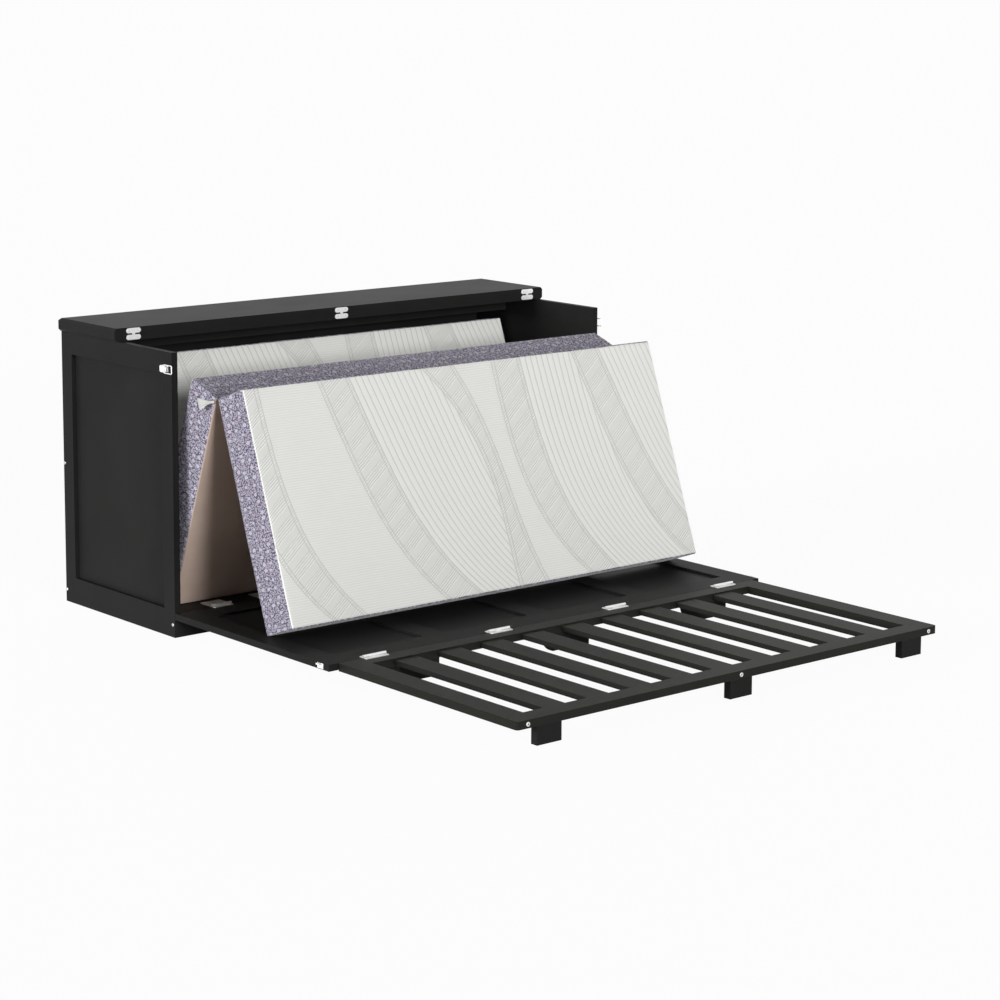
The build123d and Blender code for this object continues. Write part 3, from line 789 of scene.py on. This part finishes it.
        for axis, end in ((a, e) for a in range(3) for e in (0, 1)):
            one, two = [a for a in range(3) if a != axis]
            kind = 1 if axis != 1 else (0 if end else 2)
            for i in range(last[one]):
                for j in range(last[two]):
                    ring = []
                    for di, dj in ((0, 0), (1, 0), (1, 1), (0, 1)):
                        key = [0, 0, 0]
                        key[axis], key[one], key[two] = end * last[axis], i + di, j + dj
                        ring.append(corner(tuple(key)))
                    flip = (axis == 1) ^ (end == 0) ^ (section.faces < 0)
                    face = mesh.faces.new(ring[::-1] if flip else ring)
                    face.material_index = kind
                    for loop in face.loops:
                        p = flat[loop.vert]
                        end_print, top_print = (0.65 * p.y + 2.3, p.z), (p.x, 0.6 * p.y - 1.7)
                        place = (end_print, (p.x, p.z), top_print)[axis]
                        across = place[0] + self.width / 2 + section.print_shift
                        loop[layer].uv = (across, place[1] + self.height / 2)
        return mesh

    def add_sections(self, finishes: Finishes) -> None:
        """Makes the three sections."""
        materials = [finishes.knit, finishes.border, finishes.under]
        for section in self.sections():
            piece = new_piece(f"{section.body}_pad", self.section_mesh(section), materials)
            self.settle(piece, section.body, f"{section.body}_section")
            if section.body == "mattress_front":
                self.lift_foot(piece)

    def lift_foot(self, piece: bpy.types.Object) -> None:
        """Gives the front section its own copy of its mesh.

        Args:
            piece: The front section.
        """
        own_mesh(piece)

    def settle(self, piece: bpy.types.Object, body: str, node: str) -> None:
        """Says what a soft piece moves with, stands for and is.

        Args:
            piece: The piece.
            body: Its body.
            node: The solid that it replaces.
        """
        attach(piece, body)
        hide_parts(node)
        self.pieces.append(piece.name)

    def roll_mesh(self) -> BMesh:
        """Builds the rolled seams of the cover along its two folds."""
        mesh = bmesh.new()
        layer = mesh.loops.layers.uv.new("UVMap")
        reach = self.width / 2 - self.roll_inset
        rows, ring = 150, 14
        for fold, (y, z) in enumerate(self.fold_lines()):
            grid = []
            for i in range(rows + 1):
                t = i / rows
                x = self.centre_x - reach + 2 * reach * t
                from_end = min(1.0, min(t, 1 - t) * 2 * reach / self.roll_tip)
                close = math.sqrt(1 - (1 - from_end) ** 2)
                line = []
                for k in range(ring):
                    turn = 2 * math.pi * k / ring
                    dy, dz = math.cos(turn), math.sin(turn)
                    rough = 0.5 + 0.5 * noise.noise(Vector((x * 55.0, dy, dz + fold * 4)))
                    radius = max(0.0004, close * self.roll_radius * (1 - 0.22 * rough))
                    line.append(mesh.verts.new((x, y + radius * dy, z + radius * dz)))
                grid.append(line)
            for i in range(rows):
                for k in range(ring):
                    n = (k + 1) % ring
                    face = mesh.faces.new((grid[i][k], grid[i][n], grid[i + 1][n], grid[i + 1][k]))
                    places = ((i, k), (i, k + 1), (i + 1, k + 1), (i + 1, k))
                    for loop, (a, b) in zip(face.loops, places):
                        loop[layer].uv = (2 * reach * a / rows, 0.035 * b / ring)
            mesh.faces.new(grid[0][::-1])
            mesh.faces.new(grid[-1])
        bmesh.ops.recalc_face_normals(mesh, faces=mesh.faces)
        return mesh

    def add_rolls(self, finishes: Finishes) -> None:
        """Makes the rolled seams."""
        piece = new_piece("mattress_fold_seams", self.roll_mesh(), [finishes.border])
        self.settle(piece, "mattress_middle", "mattress_fold_rolls")

    def add_tape_tail(self, finishes: Finishes) -> None:
        """Makes the white tail of the zip's tape, which lies against the left end."""
        _, (fold_y, fold_z) = self.fold_lines()
        left = self.centre_x - self.width / 2
        mesh = bmesh.new()
        layer = mesh.loops.layers.uv.new("UVMap")
        rows, across = 18, 10
        grid = []
        for i in range(rows + 1):
            s = i / rows
            line = []
            for j in range(across + 1):
                w = 2 * j / across - 1
                half = self.tail_narrow + self.tail_flare * max(0.0, (s - 0.30) / 0.70) ** 0.8
                pleat = 0.0030 * math.cos(w * math.pi * 1.5) * math.sin(math.pi * min(1.0, 1.15 * s))
                out = 0.0030 + 0.0150 * math.sin(0.62 * math.pi * s) + pleat
                y = fold_y + 0.004 + self.tail_length * s + 0.008 * s * w
                z = fold_z - 0.010 - 0.012 * s ** 1.4 + half * w - 0.004 * s * (1 - w * w)
                line.append(mesh.verts.new((left - out, y, z)))
            grid.append(line)
        for i in range(rows):
            for j in range(across):
                face = mesh.faces.new((grid[i][j], grid[i + 1][j], grid[i + 1][j + 1], grid[i][j + 1]))
                places = ((i, j), (i + 1, j), (i + 1, j + 1), (i, j + 1))
                for loop, (a, b) in zip(face.loops, places):
                    loop[layer].uv = (0.065 * a / rows, 0.036 * b / across)
        piece = new_piece("mattress_tape_tail", mesh, [finishes.tape])
        thick = piece.modifiers.new("thick", "SOLIDIFY")
        thick.thickness = self.tail_thickness
        smooth = piece.modifiers.new("smooth", "SUBSURF")
        smooth.levels = smooth.render_levels = 1
        apply_modifiers(piece)
        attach(piece, "mattress_middle")
        self.pieces.append(piece.name)

    def build(self, finishes: Finishes) -> int:
        """Makes every piece of the mattress and returns how many."""
        self.add_sections(finishes)
        self.add_rolls(finishes)
        self.add_tape_tail(finishes)
        return len(self.pieces)


Seats = list[tuple[Facing, Vector]]


@dataclass(frozen=True)
class Group:
    """Screws or bolts of one size on one body, each with the way it faces and its middle."""

    name: str
    body: str
    radius: float
    seats: Seats
    node: str = ""


@dataclass(frozen=True)
class Fasteners:
    """The screws of hinges and lid plates, and the heads of the bolts."""

    radius: float = 0.0034
    rise: float = 0.0009
    lid_radius: float = 0.0024
    end_bolt_radius: float = 0.0060
    side_bolt_radius: float = 0.0045
    bolt_rise: float = 0.0020
    sunk: float = 0.0003
    leaf_top: float = 0.0738
    lid_front: float = 0.723
    side_face: float = 0.810
    cabinet_hinges: tuple[float, ...] = (-0.650, -0.480, -0.310, -0.140, 0.140, 0.310, 0.480, 0.650)
    slat_hinges: tuple[float, ...] = (-0.6585, -0.2205, 0.2205, 0.6585)
    lid_hinges: tuple[float, ...] = (-0.755, 0.0, 0.755)
    rail_bolts: tuple[float, ...] = (-0.7435, 0.0, 0.7435)
    side_bolts: tuple[tuple[float, float], ...] = ((1.029, 0.425), (1.029, 0.037), (0.451, 0.037))

    def on_leaves(self, hinges: tuple[float, ...], beside: tuple[float, ...], *rows: float) -> Seats:
        """The seats of a leaf's screws: beside each hinge's middle, in one or more rows."""
        spots = [(x + dx, y) for x in hinges for dx in beside for y in rows]
        return [(Facing.UP, Vector((x, y, self.leaf_top))) for x, y in spots]

    def on_lid(self, z: float) -> Seats:
        """The seats of the screws in the lid's plates at one height."""
        spots = [x + dx for x in self.lid_hinges for dx in (-0.0145, 0.0145)]
        return [(Facing.FRONT, Vector((x, self.lid_front, z))) for x in spots]

    def groups(self) -> list[Group]:
        """Every group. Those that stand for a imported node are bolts."""
        deck = self.on_leaves(self.cabinet_hinges, (-0.022, 0.022), 0.459, 0.487)
        panel = self.on_leaves(self.cabinet_hinges, (-0.024, 0.024), 0.4315)
        near, far = (self.on_leaves(self.slat_hinges, (-0.028, 0.0, 0.028), y) for y in (-0.2885, -0.3105))
        rail = [(Facing.FRONT, Vector((x, -1.033, 0.061))) for x in self.rail_bolts]
        ends = ((Facing.LEFT, -self.side_face), (Facing.RIGHT, self.side_face))
        sides = [(facing, Vector((x, *place))) for facing, x in ends for place in self.side_bolts]
        return [
            Group("screws_deck_leaves", "cabinet", self.radius, deck),
            Group("screws_panel_leaves", "front_panel", self.radius, panel),
            Group("screws_near_slat_leaves", "front_panel", self.radius, near),
            Group("screws_far_slat_leaves", "slat_panel", self.radius, far),
            Group("screws_lid_rear", "cabinet", self.lid_radius, self.on_lid(0.83575)),
            Group("screws_lid_front", "lid_leaf", self.lid_radius, self.on_lid(0.85525)),
            Group("bolt_heads_rail", "slat_panel", self.end_bolt_radius, rail, "end_rail_bolts"),
            Group("bolt_heads_sides", "cabinet", self.side_bolt_radius, sides, "side_bolts"),
        ]

    def screw_rings(self, radius: float) -> list[list[Vector]]:
        """A domed screw head with a cross recess.

        Args:
            radius: Its radius.

        Returns:
            Rings of points from its middle outwards, with the head facing +Z.
        """
        rings, steps = 6, 24
        made = []
        for i in range(rings + 2):
            share = min(1.0, i / rings)
            ring = []
            for k in range(steps):
                turn = 2 * math.pi * (k + 0.5) / steps
                x, y = share * math.cos(turn), share * math.sin(turn)
                in_cross = min(abs(x), abs(y)) < 0.17 and max(abs(x), abs(y)) < 0.62
                z = self.rise * (math.sqrt(1 - 0.92 * share ** 2) - 0.75 * in_cross)
                ring.append(Vector((radius * x, radius * y, z if i <= rings else -self.sunk)))
            made.append(ring)
        return made

    def bolt_rings(self, radius: float) -> list[list[Vector]]:
        """A round bolt head with a hexagon socket.

        Args:
            radius: Its radius.

        Returns:
            Rings of points, likewise.
        """
        steps, high = 48, self.bolt_rise
        profile = (
            (0.0, 0.40 * high, True), (0.38, 0.40 * high, True), (0.40, 0.96 * high, True),
            (0.45, high, True), (0.80, high, False), (0.93, 0.90 * high, False),
            (1.0, 0.62 * high, False), (1.0, -self.sunk, False),
        )
        made = []
        for share, z, six_sided in profile:
            ring = []
            for k in range(steps):
                turn = 2 * math.pi * k / steps
                from_flat = math.cos((turn % (math.pi / 3)) - math.pi / 6)
                far = radius * share * (math.cos(math.pi / 6) / from_flat if six_sided else 1.0)
                ring.append(Vector((far * math.cos(turn), far * math.sin(turn), z)))
            made.append(ring)
        return made

    def group_mesh(self, group: Group) -> BMesh:
        """Builds the heads of one group.

        Args:
            group: Which one.

        Returns:
            Its geometry, with material 1, painted shade, in the bolts' sockets.
        """
        rings = self.bolt_rings(group.radius) if group.node else self.screw_rings(group.radius)
        mesh = bmesh.new()
        for facing, at in group.seats:
            turn = facing.turn()
            rows = [[mesh.verts.new(at + turn @ point) for point in ring] for ring in rings]
            for i, (near, far) in enumerate(zip(rows, rows[1:])):
                for k, n in enumerate([*range(1, len(near)), 0]):
                    face = mesh.faces.new((near[k], far[k], far[n], near[n]))
                    face.material_index = int(bool(group.node) and i < 2)
            bmesh.ops.remove_doubles(mesh, verts=rows[0], dist=0.00001)
        return mesh

    def build(self, finishes: Finishes) -> int:
        """Makes every screw and bolt head, and returns how many."""
        groups = self.groups()
        for group in groups:
            materials = [finishes.bolts, finishes.sockets] if group.node else [finishes.bolts]
            piece = new_piece(group.name, self.group_mesh(group), materials)
            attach(piece, group.body)
            if group.node:
                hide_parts(group.node)
        return sum(len(group.seats) for group in groups)


GrainTable = tuple[tuple[Grain, tuple[str, ...]], ...]


@dataclass(frozen=True)
class Joinery:
    """Gives each wooden node its finish by the way its grain runs."""

    rails: GrainTable = (
        (Grain.Z, (
            "left_side_front_stile", "left_side_rear_stile", "right_side_front_stile",
            "right_side_rear_stile", "end_legs", "middle_feet",
        )),
        (Grain.Y, (
            "left_side_top_rail", "left_side_bottom_rail", "right_side_top_rail",
            "right_side_bottom_rail", "front_panel_left_stile", "front_panel_right_stile",
            "front_panel_mullions", "deck_bearers",
        )),
        (Grain.X, (
            "back_top_rail", "lid_cross_rail", "base_front_beam", "front_panel_bottom_rail",
            "front_panel_top_rail",
        )),
    )
    boards: GrainTable = (
        (Grain.Z, ("left_side_panel", "right_side_panel")),
        (Grain.Y, ("front_panel_insets",)),
        (Grain.X, ("back_panel", "deck_board", "lid_rear_board", "lid_front_board")),
    )
    slatted: GrainTable = (
        (Grain.X, ("slat_frame_near_rail", "slat_frame_end_rail")),
        (Grain.Y, ("slat_frame_left_rail", "slat_frame_right_rail", *(f"slat_{i}" for i in range(1, 10)))),
    )

    def build(self, frame: dict, finishes: Finishes) -> int:
        """Dresses the wooden nodes and returns how many."""
        done = 0
        for groups, made in (
            (self.rails, finishes.rails), (self.boards, finishes.boards), (self.slatted, finishes.slats),
        ):
            for grain, names in groups:
                for name in names:
                    dress(frame, name, made[grain])
                    done += 1
        return done


@dataclass(frozen=True)
class Fittings:
    """Gives hinges, latches, catches and bolts their metal."""

    plated: tuple[str, ...] = (
        "lid_hinge_rear_plates", "lid_hinge_front_plates", "cabinet_hinge_deck_leaves",
        "cabinet_hinge_panel_leaves", "slat_hinge_panel_leaves", "slat_hinge_slat_leaves",
        "latch_catches", "latch_bases", "left_latch_lever", "right_latch_lever",
        "left_latch_bail", "right_latch_bail",
    )
    bolts: tuple[str, ...] = ("lid_hinge_pins", "hinge_pins", "side_bolts", "end_rail_bolts")

    def build(self, frame: dict, finishes: Finishes) -> int:
        """Dresses the metal nodes and returns how many."""
        for names, material in ((self.plated, finishes.plated), (self.bolts, finishes.bolts)):
            for name in names:
                dress(frame, name, material)
        return len(self.plated) + len(self.bolts)


@dataclass(frozen=True)
class Lamp:
    """A wide, soft lamp far away, so that it lights the whole floor alike.

    Angles are in degrees: azimuth round the bed from the front towards the right, height above the
    floor, and softness as wide as the lamp looks from the bed. Strength is in watts a square metre.
    """

    name: str
    azimuth: float
    height: float
    softness: float
    strength: float
    shine: bool = True
    distance: float = 8.0

    def add(self) -> None:
        """Puts the lamp in the scene."""
        data = bpy.data.lights.new(self.name, "SUN")
        data.angle, data.energy = math.radians(self.softness), self.strength
        lamp = bpy.data.objects.new(self.name, data)
        lamp.visible_glossy = self.shine
        a, h = math.radians(self.azimuth), math.radians(self.height)
        way = Vector((math.sin(a) * math.cos(h), -math.cos(a) * math.cos(h), math.sin(h)))
        lamp.location = way * self.distance
        lamp.rotation_euler = way.to_track_quat("Z", "Y").to_euler()
        bpy.context.scene.collection.objects.link(lamp)


@dataclass(frozen=True)
class Studio:
    """A white floor, soft lamps and the camera."""

    eye: Colour = (-5.012, -5.987, 1.938)
    yaw: float = 40.111
    pitch: float = 8.42
    roll: float = 0.229
    lens: float = 98.28
    shift: float = -0.14
    sight: float = 400.0
    floor_reach: float = 160.0
    floor_bend: float = 0.75
    horizon: float = 0.33
    zenith: float = 0.0
    lamps: tuple[Lamp, ...] = (
        Lamp("lamp_key", azimuth=-10.0, height=11.5, softness=14.0, strength=2.16),
        Lamp("lamp_left", azimuth=-97.0, height=11.5, softness=24.0, strength=2.95),
        Lamp("lamp_back", azimuth=150.0, height=6.0, softness=40.0, strength=1.80, shine=False),
    )

    def add_camera(self) -> None:
        """Makes the camera and sets it as the scene's."""
        yaw, pitch, roll = (math.radians(a) for a in (self.yaw, self.pitch, self.roll))
        ahead = math.cos(pitch)
        forward = Vector((math.sin(yaw) * ahead, math.cos(yaw) * ahead, -math.sin(pitch)))
        level = Vector((math.cos(yaw), -math.sin(yaw), 0))
        upward = level.cross(forward)
        right = level * math.cos(roll) + upward * math.sin(roll)
        top = upward * math.cos(roll) - level * math.sin(roll)
        data = bpy.data.cameras.new("studio_camera")
        data.lens, data.shift_y, data.clip_end = self.lens, self.shift, self.sight
        camera = bpy.data.objects.new("studio_camera", data)
        turn = Matrix((right, top, -forward)).transposed().to_4x4()
        camera.matrix_world = Matrix.Translation(self.eye) @ turn
        bpy.context.scene.collection.objects.link(camera)
        bpy.context.scene.camera = camera

    def add_floor(self, finishes: Finishes) -> None:
        """Makes the floor, gently curved up far behind."""
        mesh = bmesh.new()
        rows, grid = 24, []
        for i in range(rows + 1):
            y = -self.floor_reach + 2 * self.floor_reach * i / rows
            rise = max(0.0, y - self.floor_bend * self.floor_reach) ** 2 / (4 * self.floor_reach)
            grid.append([mesh.verts.new((x, y, rise)) for x in (-self.floor_reach, self.floor_reach)])
        for near, far in zip(grid, grid[1:]):
            mesh.faces.new((near[0], near[1], far[1], far[0]))
        new_piece("studio_floor", mesh, [finishes.floor])

    def set_world(self) -> None:
        """White where it is seen, dimmer where it only lights."""
        world = bpy.data.worlds.new("studio_world")
        world.use_nodes = True
        bpy.context.scene.world = world
        s = Nodes(world.node_tree)
        way = s.fill(s.node("SeparateXYZ"), Vector=s.node("TexCoord").outputs["Generated"])
        sky = s.fill(
            s.node("MapRange"), Value=way.outputs[2], To_Min=self.horizon, To_Max=self.zenith
        )
        strength = s.fill(s.node("MapRange"), Value=s.seen(), To_Min=sky.outputs[0])
        backdrop = s.tree.nodes["Background"]
        s.fill(backdrop, Color=(1.0, 1.0, 1.0, 1.0), Strength=strength.outputs[0])

    def build(self, finishes: Finishes) -> None:
        """Makes the whole studio."""
        self.set_world()
        self.add_floor(finishes)
        for lamp in self.lamps:
            lamp.add()
        bpy.context.scene.view_settings.view_transform = "Standard"
        self.add_camera()


def main() -> None:
    """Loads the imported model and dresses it."""
    logging.basicConfig(level=logging.INFO, format="%(name)s: %(message)s")
    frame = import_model()
    finishes = Finishes()
    log.info("%d wooden nodes painted", Joinery().build(frame, finishes))
    log.info("%d metal nodes plated", Fittings().build(frame, finishes))
    log.info("%d pieces of the mattress", Mattress().build(finishes))
    log.info("%d screws and bolt heads", Fasteners().build(finishes))
    Studio().build(finishes)


if __name__ == "__main__":
    main()
